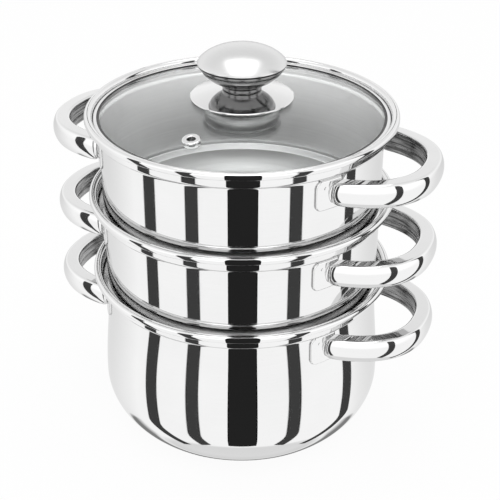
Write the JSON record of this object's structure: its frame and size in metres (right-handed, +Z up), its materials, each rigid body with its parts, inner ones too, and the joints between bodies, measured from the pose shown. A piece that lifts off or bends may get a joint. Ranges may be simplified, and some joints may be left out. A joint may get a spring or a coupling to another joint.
{
  "type": "three-tier steamer pot",
  "caption": "Round stainless steel steamer pot: a deep bottom pot, stacked perforated steamer tiers with tubular loop handles, and a domed glass lid with a steel knob.",
  "frame": {"origin": "middle of the flat base, on the surface that the pot stands on", "axes": "+Z up through the knob, +X through the right-hand handles, -Y towards the side with the lid's vent"},
  "size_m": [0.2656, 0.2, 0.2663],
  "materials": {
    "polished_steel": "mirror-polished stainless steel",
    "brushed_steel": "satin stainless steel",
    "aluminium": "plain pressed aluminium disc",
    "clear_glass": "clear tempered glass",
    "silicone": "matte silicone"
  },
  "bodies": {
    "pot": {"pot_body": "polished_steel", "pot_base_core": "aluminium", "pot_base_cap": "polished_steel", "pot_handle_right": "polished_steel", "pot_bracket_right_front": "brushed_steel", "pot_bracket_right_back": "brushed_steel", "pot_handle_left": "polished_steel", "pot_bracket_left_front": "brushed_steel", "pot_bracket_left_back": "brushed_steel"},
    "middle_steamer": {"middle_steamer_body": "polished_steel", "middle_steamer_handle_right": "polished_steel", "middle_steamer_bracket_right_front": "brushed_steel", "middle_steamer_bracket_right_back": "brushed_steel", "middle_steamer_handle_left": "polished_steel", "middle_steamer_bracket_left_front": "brushed_steel", "middle_steamer_bracket_left_back": "brushed_steel"},
    "top_steamer": {"top_steamer_body": "polished_steel", "top_steamer_handle_right": "polished_steel", "top_steamer_bracket_right_front": "brushed_steel", "top_steamer_bracket_right_back": "brushed_steel", "top_steamer_handle_left": "polished_steel", "top_steamer_bracket_left_front": "brushed_steel", "top_steamer_bracket_left_back": "brushed_steel"},
    "lid": {"lid_glass": "clear_glass", "lid_rim_band": "polished_steel", "vent_eyelet": "polished_steel", "knob_cap": "polished_steel", "knob_bowl": "polished_steel", "knob_insert": "brushed_steel", "knob_skirt": "polished_steel", "knob_gasket": "silicone", "lid_inner_gasket": "silicone", "lid_inner_washer": "brushed_steel", "knob_screw": "brushed_steel"}
  },
  "joints": [
    {"name": "middle_steamer_lift", "type": "slide", "parent": "pot", "child": "middle_steamer", "axis": [0, 0, 1], "range_m": [0, 0.1]},
    {"name": "top_steamer_lift", "type": "slide", "parent": "middle_steamer", "child": "top_steamer", "axis": [0, 0, 1], "range_m": [0, 0.1]},
    {"name": "lid_lift", "type": "slide", "parent": "top_steamer", "child": "lid", "axis": [0, 0, 1], "range_m": [0, 0.1]}
  ]
}
